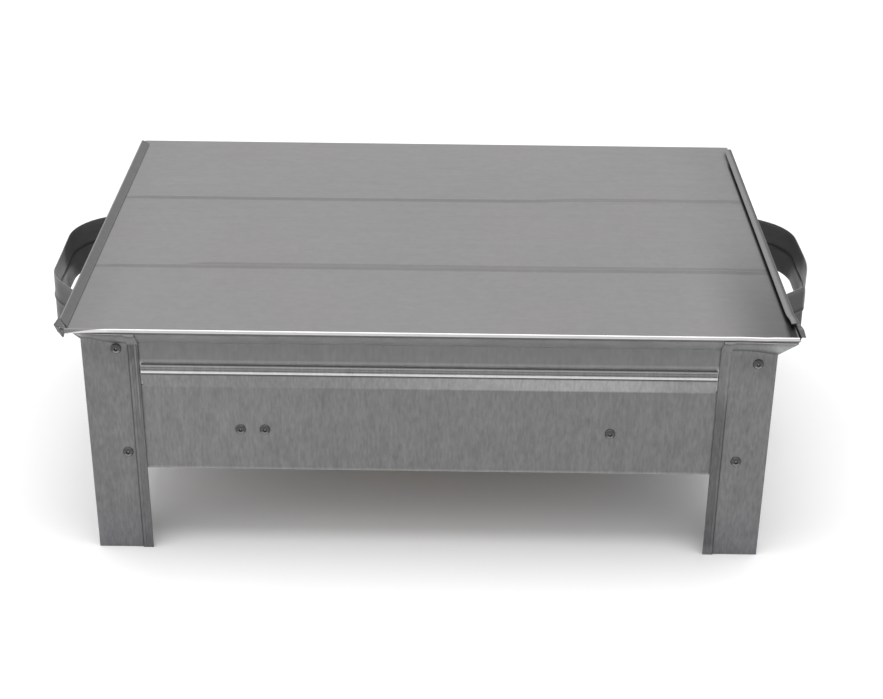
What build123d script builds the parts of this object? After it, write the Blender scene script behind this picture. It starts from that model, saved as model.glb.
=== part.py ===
from build123d import *
import os
from math import atan, tan

# A low galvanised hive box: folded sheet walls and collar on four angle legs, a sliding
# sheet lid, strap handles, bars on rails, a follower board and a mesh floor.
# Millimetres. The origin is the centre of the footprint on the floor; +X runs along the
# long side, +Y to the rear and +Z up.

# ---- overall sizes ----
HALF_X = 300.0              # outer faces of the legs, left and right
HALF_Y = 210.0              # outer faces of the legs, front and rear
SHEET = 1.0                 # galvanised sheet
FIT = 0.1                   # gap left between faces that only lie together
BEND = 1.2                  # centre-line radius of a sharp fold

WALL_BOTTOM = 84.0
WALL_TOP = 168.0            # where the mouth of the lower walls starts to open
SIDE_WALL_TOP = 181.0
MOUTH_LIP = 181.0
MOUTH_TOP = 187.0
MOUTH_OUT = 2.4             # how far the mouth opens outward
MOUTH_HEM = 1.4             # hem folded down outside the mouth
MOUTH_HALF_LEN = 249.5

SKIRT_BOTTOM = 150.0        # collar skirt, tucked inside the lower walls
JOGGLE_LOW = 184.5
JOGGLE_HIGH = 187.5
JOGGLE_IN = 1.1
CREASE = 210.0              # where the rim starts to flare
RIM_TOP = 227.0
FLARE_SLOPE = 17.0 / 18.0   # how far the rim leans out for each millimetre of rise
CREASE_BEND = 1.8

GUIDE_OUT = 16.6            # how far out the lid guides stand
GUIDE_IN = {"left": 7.4, "right": 6.8}  # how far they fold in over the lid
GUIDE_BEND = 0.8
GUIDE_RIGHT_Z = 233.2
GUIDE_LEFT_RIDGE_Z = 234.5
GUIDE_LEFT_EDGE_Z = 231.1
GUIDE_ENDS = {"left": (-221.0, 216.0), "right": (-205.0, 212.0)}

# ---- lid ----
LID_UNDER = 229.0
LID_HALF_X = 313.5
LID_FRONT = -227.2
LID_BACK = 227.2
LID_LIP_DROP = 4.5
LID_LIP_LEFT = -309.0
LID_LIP_RIGHT = 313.5
LID_LIP_BEND = 2.0
LID_LIP_FLAT = 14.0         # flat part of the lip piece, lapped into the sheet
LID_LIP_LAP = 2.0
LID_CREASES = (-92.6, 70.9)
CREASE_HALF = 3.0
CREASE_RISE = 0.8
CREASE_HALF_LEN = 298.0

# ---- legs ----
LEG_WIDTH = 49.0
LEG_HEM = 9.0
LEG_HEM_TOP = 207.0
LEG_TAB_TOP = 224.5

# ---- rivets ----
RIVET_SHANK_R = 2.4
RIVET_HOLE_R = 2.5
RIVET_HEAD_R = 4.75
RIVET_HEAD_H = 2.1
RIVET_HEAD_EDGE = 0.74      # height of the head at its outer edge
RIVET_CROWN = (3.42, 1.64)  # a point on the dome: radius and height
RIVET_PIN_R = 1.3
RIVET_PIN_DEPTH = 1.2
RIVET_BULB_R = 2.9
RIVET_BULB_LEN = 6.0
RIVET_BULB_END_R = 1.74
RIVET_BULB_BEVEL = 1.0
DRILL_LENGTH = 30.0
DRILL_INSIDE = 10.0         # a drilled hole is centred this far inside the leg faces

# Positions are (along the wall, height), on each wall's outer face.
FRONT_LEG_RIVETS = ((-270.0, 204.3), (284.0, 197.0), (-267.0, 101.0), (273.0, 99.0))
REAR_LEG_RIVETS = ((-272.0, 200.0), (272.0, 200.0), (-272.0, 100.0), (272.0, 100.0))
SIDE_LEG_RIVETS = ((-182.0, 200.0), (182.0, 200.0), (-182.0, 100.0), (182.0, 100.0))
BRACKET_LEFT_X = -155.25
BRACKET_LEFT_PITCH = 21.5
BRACKET_RIGHT_X = 160.0
BRACKET_RIVET_Z = 125.0
HANDLE_RIVET_LEVELS = (178.0, 160.0)
HANDLE_RIVET_Y = {"left": (-128.0, 138.0), "right": (-105.0, 146.0)}

# ---- handles ----
HANDLE_BOTTOM = 145.0
HANDLE_TOP = 194.0
HANDLE_SHEET = 1.2
HANDLE_BEAD_LOW = 168.5
HANDLE_BEAD_HIGH = 172.5
HANDLE_BEAD_THICK = 3.2
HANDLE_BEAD_START = 304.0

# Each strap in plan: its tabs as (end, bend at the wall) in y, and the points of its grip as
# (x, y) with the bend radii, all from front to back. The right grip is bent further back.
HANDLE_TABS = {
    "left": ((-141.0, -115.0), (126.0, 151.0)),
    "right": ((-118.0, -92.0), (134.0, 158.0)),
}
HANDLE_GRIP = {
    "left": ((364.0, -46.5), (361.6, 78.0)),
    "right": ((350.5, -45.5), (365.4, 15.0), (365.4, 94.0)),
}
HANDLE_RADII = {
    "left": (6.0, 50.0, 55.0, 6.0),
    "right": (6.0, 6.0, 150.0, 50.0, 6.0),
}

# ---- rails, bars and follower board ----
RAIL_TOP = 209.0
RAIL_BOTTOM = 190.0
RAIL_SHELF = 14.0
RAIL_HALF_LEN = 296.5
BAR_COUNT = 12
BAR_PITCH = 35.0
BAR_WIDTH = 34.8
BAR_THICK = 18.0
BAR_HALF_LEN = 206.0
BAR_START_X = -296.5
RIDGE_WIDTH = 14.0
RIDGE_DEPTH = 10.0
RIDGE_HALF_LEN = 182.0
FOLLOWER_GAP = 0.8
FOLLOWER_TOP_WIDTH = 20.0
FOLLOWER_THICK = 10.0
FOLLOWER_HALF_Y = 191.0
FOLLOWER_BOTTOM = 117.0

# ---- floor ----
STRAP_Z = 110.0
STRAP_THICK = 1.5
STRAP_LEFT_WIDTH = 40.0
STRAP_RIGHT_WIDTH = 20.0
STRAP_TAB_TOP = 134.0
STRAP_BEND = 2.0
FRAME_THICK = 1.5
FRAME_HALF_X = 296.0
FRAME_HALF_Y = 205.0
FRAME_WIDTH = 18.0
MESH_THICK = 0.8
MESH_PITCH = 20.0
MESH_OPENING = 17.6
MESH_COLUMNS = 28
MESH_ROWS = 19

# ---- entrance ----
ENTRANCE_X = 200.0
ENTRANCE_Z = 128.0
ENTRANCE_HOLE_R = 9.0
ENTRANCE_ORBIT = 17.0
DISC_R = 29.0
DISC_PIVOT_R = 2.45
DISC_VENT_R = 1.6
DISC_VENT_RING = 5.0
DISC_VENT_COUNT = 6
DISC_VENT_TURN = 120.0
DISC_TAB_REACH = 34.0
DISC_TAB_WIDTH = 12.0

# ---- working sizes: blocks that only cut or keep run past the box by these ----
BEYOND = 40.0
INSIDE = 60.0
TALL = 300.0
THROUGH = 10.0

FRONT = Vector(0, -1, 0)
BACK = Vector(0, 1, 0)
LEFT = Vector(-1, 0, 0)
RIGHT = Vector(1, 0, 0)
UP = Vector(0, 0, 1)
SIDES = {"front": FRONT, "back": BACK, "left": LEFT, "right": RIGHT}


def half_size(outward):
    """Distance from the centre to the leg faces on this side."""
    return HALF_Y if outward.X == 0 else HALF_X


def half_length(outward):
    """Half the length of the box along this side."""
    return HALF_X if outward.X == 0 else HALF_Y


def folded(outward, points, half, thickness=SHEET, bend=BEND):
    """A folded sheet: a centre line of (distance out, height), drawn along one side."""
    plane = Plane(origin=(0, 0, 0), x_dir=outward, z_dir=outward.cross(UP))
    if len(points) > 2:
        line = FilletPolyline(*points, radius=bend)
    else:
        line = Line(*points)
    profile = plane * trace(line, line_width=thickness)
    return extrude(profile, amount=half, both=True)


def mitre(outward):
    """The wedge that belongs to one side, bounded by the two corner planes."""
    near, far = half_size(outward) - INSIDE, half_size(outward) + BEYOND
    extra = half_length(outward) - half_size(outward)
    plane = Plane(origin=(0, 0, 0), x_dir=outward, z_dir=UP)
    corners = [(near, -near - extra), (far, -far - extra), (far, far + extra), (near, near + extra)]
    return extrude(plane * Polygon(*corners, align=None), amount=TALL)


def block(x0, x1, y0, y1, z0, z1):
    """A box given by its six faces."""
    return Pos(x0, y0, z0) * Box(x1 - x0, y1 - y0, z1 - z0, align=(Align.MIN,) * 3)


def span(a, b, z0, z1):
    """A box between two plan corners given as vectors."""
    xs, ys = sorted((a.X, b.X)), sorted((a.Y, b.Y))
    return block(xs[0], xs[1], ys[0], ys[1], z0, z1)


def at_wall(outward, along, height, out):
    """Location on a wall, its own Z pointing outward; `along` is the world X or Y."""
    spot = outward * out + UP * height
    spot += Vector(along, 0, 0) if outward.X == 0 else Vector(0, along, 0)
    return Plane(origin=spot, x_dir=UP, z_dir=outward).location


def drill(outward, spots, radius=RIVET_HOLE_R):
    """Holes through every sheet of one side at the listed spots."""
    out = half_size(outward) - DRILL_INSIDE
    return Part() + [at_wall(outward, a, z, out) * Cylinder(radius, DRILL_LENGTH) for a, z in spots]


def rivet(shank=RIVET_SHANK_R, grip=3.0):
    """Blind rivet: hollow domed head above its own origin, shank and bulb below."""
    bulb_end = -grip - RIVET_BULB_LEN
    with BuildPart() as part:
        with BuildSketch(Plane.XZ):
            with BuildLine():
                Polyline((RIVET_PIN_R, RIVET_HEAD_H - RIVET_PIN_DEPTH), (RIVET_PIN_R, RIVET_HEAD_H))
                ThreePointArc(
                    (RIVET_PIN_R, RIVET_HEAD_H), RIVET_CROWN, (RIVET_HEAD_R, RIVET_HEAD_EDGE)
                )
                Polyline(
                    (RIVET_HEAD_R, RIVET_HEAD_EDGE),
                    (RIVET_HEAD_R, 0),
                    (shank, 0),
                    (shank, -grip),
                    (RIVET_BULB_R, -grip - RIVET_BULB_BEVEL),
                    (RIVET_BULB_R, bulb_end + RIVET_BULB_BEVEL),
                    (RIVET_BULB_END_R, bulb_end),
                    (0, bulb_end),
                    (0, RIVET_HEAD_H - RIVET_PIN_DEPTH),
                    (RIVET_PIN_R, RIVET_HEAD_H - RIVET_PIN_DEPTH),
                )
            make_face()
        revolve(axis=Axis.Z)
    return part.part


def rivets_at(outward, spots, out, grip):
    """Rivets on one side whose heads sit at distance `out`."""
    return [at_wall(outward, a, z, out) * rivet(grip=grip) for a, z in spots]


def save(name, shape):
    """Write one node; a list becomes a group of solids."""
    if isinstance(shape, list):
        shape = Compound(children=shape)
    shape.label = name
    export_step(shape, os.path.join("parts", name + ".step"))


os.makedirs("parts", exist_ok=True)

LEG_RIVETS = {
    "front": FRONT_LEG_RIVETS,
    "back": REAR_LEG_RIVETS,
    "left": SIDE_LEG_RIVETS,
    "right": SIDE_LEG_RIVETS,
}
BRACKET_RIVETS = (
    (BRACKET_LEFT_X - BRACKET_LEFT_PITCH / 2, BRACKET_RIVET_Z),
    (BRACKET_LEFT_X + BRACKET_LEFT_PITCH / 2, BRACKET_RIVET_Z),
    (BRACKET_RIGHT_X, BRACKET_RIVET_Z),
)

HANDLE_RIVETS = {
    side: tuple((y, z) for z in HANDLE_RIVET_LEVELS for y in depths)
    for side, depths in HANDLE_RIVET_Y.items()
}

# ---- holes of each side, cut from every sheet that a rivet passes through ----
holes = {}
for side, outward in SIDES.items():
    extra = HANDLE_RIVETS.get(side, BRACKET_RIVETS)
    holes[side] = drill(outward, LEG_RIVETS[side] + extra)

# ---- lower walls ----
for side, outward in SIDES.items():
    half, length = half_size(outward), half_length(outward)
    centre = half - SHEET * 1.5
    top = WALL_TOP if side in ("front", "back") else SIDE_WALL_TOP
    wall = folded(outward, [(centre, WALL_BOTTOM), (centre, top)], length)
    wall = wall & mitre(outward)
    if side in ("front", "back"):
        mouth = [
            (centre, WALL_TOP - SHEET),
            (centre, WALL_TOP),
            (centre + MOUTH_OUT, MOUTH_LIP),
            (centre + MOUTH_OUT, MOUTH_TOP),
            (centre + MOUTH_OUT + MOUTH_HEM, MOUTH_TOP),
            (centre + MOUTH_OUT + MOUTH_HEM, MOUTH_LIP + SHEET),
        ]
        wall += folded(outward, mouth, MOUTH_HALF_LEN, bend=MOUTH_HEM * 0.45)
    wall -= holes[side]
    if side == "back":
        pivot = at_wall(outward, ENTRANCE_X, ENTRANCE_Z, half)
        wall -= pivot * Cylinder(RIVET_HOLE_R, THROUGH)
        wall -= pivot * Pos(0, ENTRANCE_ORBIT, 0) * Cylinder(ENTRANCE_HOLE_R, THROUGH)
    save("wall_" + side, wall)

# ---- collar: skirt, joggle, upper wall and flared rim, with the lid guides on the sides ----
for side, outward in SIDES.items():
    half, length = half_size(outward), half_length(outward)
    centre = half - SHEET * 1.5
    line = [
        (centre - JOGGLE_IN, SKIRT_BOTTOM),
        (centre - JOGGLE_IN, JOGGLE_LOW),
        (centre, JOGGLE_HIGH),
        (centre, CREASE),
    ]
    bends = [GUIDE_BEND, GUIDE_BEND, CREASE_BEND]
    if side in ("front", "back"):
        line += [(centre + (RIM_TOP - CREASE) * FLARE_SLOPE, RIM_TOP)]
    else:
        rim = centre + GUIDE_OUT
        line += [(rim, CREASE + GUIDE_OUT / FLARE_SLOPE)]
        bends += [GUIDE_BEND, GUIDE_BEND]
        inner_edge = rim - GUIDE_IN[side]
        if side == "right":
            line += [(rim, GUIDE_RIGHT_Z), (inner_edge, GUIDE_RIGHT_Z)]
        else:
            line += [(rim, GUIDE_LEFT_RIDGE_Z), (inner_edge, GUIDE_LEFT_EDGE_Z)]
    collar = folded(outward, line, length + BEYOND, bend=bends) & mitre(outward)
    if side in GUIDE_ENDS:
        front_end, back_end = GUIDE_ENDS[side]
        far_x, far_y = HALF_X + BEYOND, HALF_Y + BEYOND
        guide = block(-far_x, far_x, front_end, back_end, RIM_TOP, TALL)
        below = block(-far_x, far_x, -far_y, far_y, 0, RIM_TOP)
        collar = collar & (guide + below)
    collar -= holes[side]
    save("collar_" + side, collar)

# ---- legs: two flanges with a flared tab each, hemmed along their inner edges ----
for end, front_back in (("front", FRONT), ("rear", BACK)):
    for hand, across in (("left", LEFT), ("right", RIGHT)):
        leg = Part()
        for outward, other in ((front_back, across), (across, front_back)):
            half, reach = half_size(outward), half_length(outward)
            mid = half - SHEET / 2
            crease = CREASE - SHEET * tan(atan(FLARE_SLOPE) / 2) - FIT / 2
            out = mid + (LEG_TAB_TOP - crease) * FLARE_SLOPE
            line = [(mid, 0), (mid, crease), (out, LEG_TAB_TOP)]
            flange = folded(outward, line, reach + BEYOND, bend=CREASE_BEND - SHEET)
            flange = flange & mitre(outward)
            inner = other * (reach - LEG_WIDTH)
            far = other * (reach + BEYOND)
            hem_end = inner + other * LEG_HEM
            keep = span(
                inner + outward * (half - THROUGH), far + outward * (half + BEYOND), 0, TALL
            )
            strip = span(
                inner + outward * half, hem_end + outward * (half + SHEET), 0, LEG_HEM_TOP
            )
            leg += (flange & keep) + strip
        side = "front" if end == "front" else "back"
        leg -= holes[side]
        leg -= holes[hand]
        save("leg_" + end + "_" + hand, leg)

# ---- handles: a strap on edge, bent to a D in plan, with a bead along its middle ----
tab = HALF_X - SHEET + HANDLE_SHEET / 2
for side, (front_tab, back_tab) in HANDLE_TABS.items():
    sign = SIDES[side].X
    plan = [(tab, y) for y in front_tab]
    plan += HANDLE_GRIP[side]
    plan += [(tab, y) for y in back_tab]
    path = FilletPolyline(*[(sign * x, y) for x, y in plan], radius=HANDLE_RADII[side])
    strap = extrude(trace(path, line_width=HANDLE_SHEET), amount=HANDLE_TOP - HANDLE_BOTTOM)
    bead = extrude(
        trace(path, line_width=HANDLE_BEAD_THICK), amount=HANDLE_BEAD_HIGH - HANDLE_BEAD_LOW
    )
    bead_from = Vector(sign * HANDLE_BEAD_START, -HALF_Y)
    bead_to = Vector(sign * (HALF_X + HANDLE_SHEET + BEYOND * 2), HALF_Y)
    bead = Pos(0, 0, HANDLE_BEAD_LOW) * bead & span(bead_from, bead_to, 0, TALL)
    handle = Pos(0, 0, HANDLE_BOTTOM) * strap + bead
    handle -= drill(SIDES[side], HANDLE_RIVETS[side])
    save("handle_" + side, handle)

# ---- lid: flat sheet with two pressed creases and a lip rolled over the front rim ----
sheet_z = LID_UNDER + SHEET / 2
sheet_front = LID_FRONT + LID_LIP_FLAT - LID_LIP_LAP
lid = block(-LID_HALF_X, LID_HALF_X, sheet_front, LID_BACK, LID_UNDER, LID_UNDER + SHEET)
lip_y = -LID_FRONT - SHEET / 2
lip_line = [
    (lip_y - LID_LIP_FLAT, sheet_z),
    (lip_y, sheet_z),
    (lip_y, LID_UNDER + SHEET - LID_LIP_DROP),
]
lip = folded(FRONT, lip_line, HALF_X + BEYOND, bend=LID_LIP_BEND)
lid += lip & block(LID_LIP_LEFT, LID_LIP_RIGHT, LID_FRONT, 0, 0, TALL)
for y in LID_CREASES:
    fold = Polygon((-CREASE_HALF, 0), (0, CREASE_RISE), (CREASE_HALF, 0), align=None)
    ridge = extrude(
        Plane(origin=(0, y, 0), x_dir=(0, 1, 0), z_dir=(1, 0, 0)) * fold,
        amount=CREASE_HALF_LEN,
        both=True,
    )
    lid += Pos(0, 0, LID_UNDER + SHEET) * ridge
    lid -= Pos(0, 0, LID_UNDER) * ridge
save("lid_panel", lid)

# ---- rails: angles under the bar ends, held by the upper leg rivets ----
for side in ("front", "back"):
    outward = SIDES[side]
    face = HALF_Y - SHEET * 2 - FIT
    line = [
        (face - SHEET / 2, RAIL_BOTTOM),
        (face - SHEET / 2, RAIL_TOP - SHEET / 2),
        (face - RAIL_SHELF, RAIL_TOP - SHEET / 2),
    ]
    save("rail_" + side, folded(outward, line, RAIL_HALF_LEN) - holes[side])

# ---- bars with a comb ridge ----
for i in range(BAR_COUNT):
    x0 = BAR_START_X + i * BAR_PITCH
    middle = x0 + BAR_WIDTH / 2
    bar = block(x0, x0 + BAR_WIDTH, -BAR_HALF_LEN, BAR_HALF_LEN, RAIL_TOP, RAIL_TOP + BAR_THICK)
    comb = Polygon(
        (-RIDGE_WIDTH / 2, 0), (0, -RIDGE_DEPTH), (RIDGE_WIDTH / 2, 0), align=None
    )
    section = Plane(origin=(middle, 0, RAIL_TOP), x_dir=(1, 0, 0), z_dir=(0, -1, 0)) * comb
    bar += extrude(section, amount=RIDGE_HALF_LEN, both=True)
    save(f"top_bar_{i + 1:02d}", bar)

# ---- follower board: a narrow bar with a board below it ----
x0 = BAR_START_X + BAR_COUNT * BAR_PITCH + FOLLOWER_GAP
x1 = x0 + FOLLOWER_TOP_WIDTH
middle = (x0 + x1) / 2
follower = block(x0, x1, -BAR_HALF_LEN, BAR_HALF_LEN, RAIL_TOP + FIT, RAIL_TOP + BAR_THICK)
follower += block(
    middle - FOLLOWER_THICK / 2,
    middle + FOLLOWER_THICK / 2,
    -FOLLOWER_HALF_Y,
    FOLLOWER_HALF_Y,
    FOLLOWER_BOTTOM,
    RAIL_TOP + FIT,
)
save("follower_board", follower)

# ---- floor: two straps across, a frame on the straps and a mesh on the frame ----
strap_end = HALF_Y - SHEET * 2 - FIT
strap_mid = STRAP_Z + STRAP_THICK / 2
for name, x, width in (
    ("floor_strap_left", BRACKET_LEFT_X, STRAP_LEFT_WIDTH),
    ("floor_strap_right", BRACKET_RIGHT_X, STRAP_RIGHT_WIDTH),
):
    tab_y = strap_end - STRAP_THICK / 2
    line = [
        (-tab_y, STRAP_TAB_TOP),
        (-tab_y, strap_mid),
        (tab_y, strap_mid),
        (tab_y, STRAP_TAB_TOP),
    ]
    strap = Pos(x, 0, 0) * folded(FRONT, line, width / 2, STRAP_THICK, STRAP_BEND)
    save(name, strap - holes["front"] - holes["back"])

frame_z = STRAP_Z + STRAP_THICK
outer = Rectangle(2 * FRAME_HALF_X, 2 * FRAME_HALF_Y)
inner = Rectangle(2 * (FRAME_HALF_X - FRAME_WIDTH), 2 * (FRAME_HALF_Y - FRAME_WIDTH))
save("floor_frame", extrude(Pos(0, 0, frame_z) * (outer - inner), amount=FRAME_THICK))

openings = GridLocations(MESH_PITCH, MESH_PITCH, MESH_COLUMNS, MESH_ROWS) * Rectangle(
    MESH_OPENING, MESH_OPENING
)
mesh = outer - openings
mesh_z = frame_z + FRAME_THICK
save("floor_mesh", extrude(Pos(0, 0, mesh_z) * mesh, amount=MESH_THICK))

# ---- entrance disc on the rear wall ----
disc_face = HALF_Y - SHEET + FIT
disc = Cylinder(DISC_R, SHEET, align=(Align.CENTER, Align.CENTER, Align.MIN))
disc += Pos(0, -DISC_TAB_REACH / 2, SHEET / 2) * Box(DISC_TAB_WIDTH, DISC_TAB_REACH, SHEET)
disc -= Cylinder(DISC_PIVOT_R, THROUGH)
disc -= Pos(0, ENTRANCE_ORBIT, 0) * Cylinder(ENTRANCE_HOLE_R, THROUGH)
vent_centre = Rot(0, 0, DISC_VENT_TURN) * Pos(0, ENTRANCE_ORBIT, 0)
for spot in PolarLocations(DISC_VENT_RING, DISC_VENT_COUNT):
    disc -= vent_centre * spot * Cylinder(DISC_VENT_R, THROUGH)
save("entrance_disc", at_wall(BACK, ENTRANCE_X, ENTRANCE_Z, disc_face) * disc)
pivot_spot = ((ENTRANCE_X, ENTRANCE_Z),)
pivot_grip = SHEET * 2 + FIT * 2
save("entrance_pivot", rivets_at(BACK, pivot_spot, disc_face + SHEET + FIT, pivot_grip))

# ---- rivets ----
leg_rivets, bracket_rivets, handle_rivets = [], [], []
for side, outward in SIDES.items():
    half = half_size(outward)
    for spot in LEG_RIVETS[side]:
        through_rail = side in ("front", "back") and spot[1] > SKIRT_BOTTOM
        grip = SHEET * 3 + FIT if through_rail else SHEET * 2
        leg_rivets += rivets_at(outward, [spot], half, grip)
    if side in ("front", "back"):
        grip = SHEET + FIT + STRAP_THICK
        bracket_rivets += rivets_at(outward, BRACKET_RIVETS, half - SHEET, grip)
    else:
        out = half - SHEET + HANDLE_SHEET
        grip = HANDLE_SHEET + SHEET * 2 + FIT
        handle_rivets += rivets_at(outward, HANDLE_RIVETS[side], out, grip)
save("leg_rivets", leg_rivets)
save("bracket_rivets", bracket_rivets)
save("handle_rivets", handle_rivets)
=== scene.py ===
import math

import bmesh
import bpy
from mathutils import Matrix, Vector, noise


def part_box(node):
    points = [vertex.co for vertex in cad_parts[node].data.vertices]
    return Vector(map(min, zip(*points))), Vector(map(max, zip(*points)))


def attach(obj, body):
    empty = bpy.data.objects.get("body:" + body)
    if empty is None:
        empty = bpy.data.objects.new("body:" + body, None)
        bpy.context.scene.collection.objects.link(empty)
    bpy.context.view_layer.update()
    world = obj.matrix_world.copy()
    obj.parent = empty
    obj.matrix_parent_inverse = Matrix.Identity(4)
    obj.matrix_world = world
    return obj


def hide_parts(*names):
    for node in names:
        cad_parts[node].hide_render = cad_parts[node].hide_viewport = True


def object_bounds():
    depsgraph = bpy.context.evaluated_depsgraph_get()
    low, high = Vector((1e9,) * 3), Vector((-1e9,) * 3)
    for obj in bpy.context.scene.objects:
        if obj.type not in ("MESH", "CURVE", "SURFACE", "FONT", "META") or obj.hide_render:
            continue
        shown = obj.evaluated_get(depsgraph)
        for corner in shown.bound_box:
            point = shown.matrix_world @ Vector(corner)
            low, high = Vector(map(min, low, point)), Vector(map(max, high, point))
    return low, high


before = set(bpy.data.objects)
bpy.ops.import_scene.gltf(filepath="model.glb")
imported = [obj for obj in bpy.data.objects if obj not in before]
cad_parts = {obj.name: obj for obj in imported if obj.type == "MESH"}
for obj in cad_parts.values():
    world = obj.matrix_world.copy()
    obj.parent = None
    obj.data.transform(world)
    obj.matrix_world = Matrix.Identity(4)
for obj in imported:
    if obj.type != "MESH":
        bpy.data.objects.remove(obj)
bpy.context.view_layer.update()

# Shapes are worked out in millimetres and written to meshes in metres.
MM = 0.001
UP = Vector((0, 0, 1))
FRONT, BACK = Vector((0, -1, 0)), Vector((0, 1, 0))
LEFT, RIGHT = Vector((-1, 0, 0)), Vector((1, 0, 0))
SIDES = {"front": FRONT, "back": BACK, "left": LEFT, "right": RIGHT}


def box_mm(node):
    """The low and high corner of a CAD piece."""
    low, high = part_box(node)
    return low / MM, high / MM


# ---- sizes read from the frame ----
SHEET = 1.0
front_low, front_high = box_mm("wall_front")
left_high = box_mm("wall_left")[1]
HALF_X = front_high.x + SHEET
HALF_Y = left_high.y + SHEET
WALL_BOTTOM = front_low.z
SIDE_WALL_TOP = left_high.z
SKIRT_BOTTOM = box_mm("collar_front")[0].z

# ---- folded sheet profiles, (distance out, height) ----
WALL_TOP = 168.0
MOUTH_LIP = 181.0
MOUTH_TOP = 189.2
MOUTH_FOOT = 1.7
MOUTH_OUT = 2.4
MOUTH_HEM = 1.4
MOUTH_HALF_LEN = 249.5
# The collar steps in behind the mouth by this much.
JOGGLE_DEPTH = 1.1
CREASE = 210.0
RIM_TOP = 227.0
FLARE = 17.0 / 18.0
GUIDE_OUT = 16.6
GUIDE_IN = {"left": 7.4, "right": 6.8}
LEG_WIDTH = 49.0
LEG_HEM = 9.0
LEG_TAB_TOP = 224.5
# Small clearance at cut edges that stand on or in something else.
EDGE_GAP = 0.35


# ---- paths and sections ----
def smooth(value):
    """A soft step from 0 to 1."""
    value = min(1.0, max(0.0, value))
    return value * value * (3 - 2 * value)


def rounded(points, radii, steps=4):
    """A polyline whose inner corners are replaced by arcs."""
    path = [Vector(points[0])]
    for i in range(1, len(points) - 1):
        before, here, after = (Vector(points[i + k]) for k in (-1, 0, 1))
        a, b = (before - here), (after - here)
        turn = a.angle(b)
        radius = radii if isinstance(radii, (int, float)) else radii[i - 1]
        cut = min(radius / math.tan(turn / 2), a.length * 0.49, b.length * 0.49)
        radius = cut * math.tan(turn / 2)
        a.normalize()
        b.normalize()
        start, end = here + a * cut, here + b * cut
        centre = here + (a + b).normalized() * (radius / math.sin(turn / 2))
        u, v = start - centre, end - centre
        sweep = u.angle(v)
        for k in range(steps + 1):
            t = k / steps
            spot = (u * math.sin((1 - t) * sweep) + v * math.sin(t * sweep)) / math.sin(sweep)
            path.append(centre + spot)
    path.append(Vector(points[-1]))
    return path


def braced(path, gap=6.0, near=0.4):
    """Extra points on the straight runs, so that flat parts shade flat."""
    full = [path[0]]
    for a, b in zip(path, path[1:]):
        run = (b - a).length
        if run > 3 * near:
            cuts = max(1, int(run / gap))
            shares = [near / run] + [k / cuts for k in range(1, cuts)] + [1 - near / run]
            full += [a.lerp(b, share) for share in shares]
        full.append(b)
    return full


def thickened(path, thickness):
    """The two faces of a sheet that follows a 2D path: lists of left and right points."""
    left, right = [], []
    for i, p in enumerate(path):
        a = (p - path[i - 1]).normalized() if i else None
        b = (path[i + 1] - p).normalized() if i < len(path) - 1 else None
        a, b = a or b, b or a
        mid = (a + b).normalized()
        scale = 1 / max(0.5, math.sqrt((1 + a.dot(b)) / 2))
        normal = Vector((-mid.y, mid.x)) * (thickness / 2 * scale)
        left.append(p + normal)
        right.append(p - normal)
    return left, right


def add_object(name, verts, faces, material, wear_and_highlight=None, tone=None):
    """A mesh object from millimetre points, with worn spots and painted highlights, and a tone of
    mostly painted light and shade, kept per point.
    """
    mesh = bpy.data.meshes.new(name)
    mesh.from_pydata([Vector(v) * MM for v in verts], [], faces)
    for key, values, default in (("wear_and_highlight", wear_and_highlight, 0.0), ("tone", tone, 1.0)):
        layer = mesh.attributes.new(key, "FLOAT", "POINT")
        layer.data.foreach_set("value", values or [default] * len(verts))
    mesh.materials.append(material)
    mesh.validate()
    shade(mesh)
    obj = bpy.data.objects.new(name, mesh)
    bpy.context.scene.collection.objects.link(obj)
    return obj


def shade(mesh, angle=38.0):
    """Smooth shading with edges sharper than the angle kept crisp."""
    bm = bmesh.new()
    bm.from_mesh(mesh)
    bmesh.ops.recalc_face_normals(bm, faces=bm.faces)
    for face in bm.faces:
        face.smooth = True
    limit = math.radians(angle)
    for edge in bm.edges:
        edge.smooth = len(edge.link_faces) == 2 and edge.calc_face_angle(0) < limit
    bm.to_mesh(mesh)
    bm.free()


def weighted(obj):
    """Normals that follow the larger faces, so that folded sheet looks flat."""
    modifier = obj.modifiers.new("flat faces stay flat", "WEIGHTED_NORMAL")
    modifier.keep_sharp = True
    modifier.weight = 80


def section_ring(path, thickness, wear_and_highlight, tone):
    """A closed section of a folded sheet with rounded edges: points, worn spots and painted
    highlights, and tone.
    """
    left, right = thickened(path, thickness)
    round_out = thickness * 0.35
    end = path[-1] + (path[-1] - path[-2]).normalized() * round_out
    start = path[0] + (path[0] - path[1]).normalized() * round_out
    ring = left + [end] + right[::-1] + [start]
    w = list(wear_and_highlight) + [1.0] + list(wear_and_highlight[::-1]) + [1.0]
    t = list(tone) + [tone[-1]] + list(tone[::-1]) + [tone[0]]
    return ring, w, t


def swept(name, ring, wear_and_highlight, tone, outward, limits, rows, material, shape=None, tint=None):
    """A ring of (out, height) points carried along one side of the box."""
    along_axis = Vector((1, 0, 0)) if outward.x == 0 else Vector((0, 1, 0))
    verts, faces, w, t = [], [], [], []
    # The ring holds one face of the sheet, a tip, the other face back, and a second tip.
    n = len(ring)
    half = (n - 2) // 2
    for j in range(rows + 1):
        share = j / rows
        for k, (d, z) in enumerate(ring):
            low, high = limits(d, z)
            along = low + (high - low) * share
            point = outward * d + along_axis * along + UP * z
            verts.append(shape(point) if shape else point)
            w.append(wear_and_highlight[k])
            t.append(tone[k] * (tint(along, z) if tint else 1.0))
        if j:
            a, b = (j - 1) * n, j * n
            faces += [(a + k, a + (k + 1) % n, b + (k + 1) % n, b + k) for k in range(n)]
    for base in (0, rows * n):
        mirror = [base + 2 * half - i for i in range(half)]
        for i in range(half - 1):
            faces.append((base + i, base + i + 1, mirror[i + 1], mirror[i]))
        faces.append((base + half - 1, base + half, mirror[half - 1]))
        faces.append((base, mirror[0], base + n - 1))
    return add_object(name, verts, faces, material, w, t)


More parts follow.
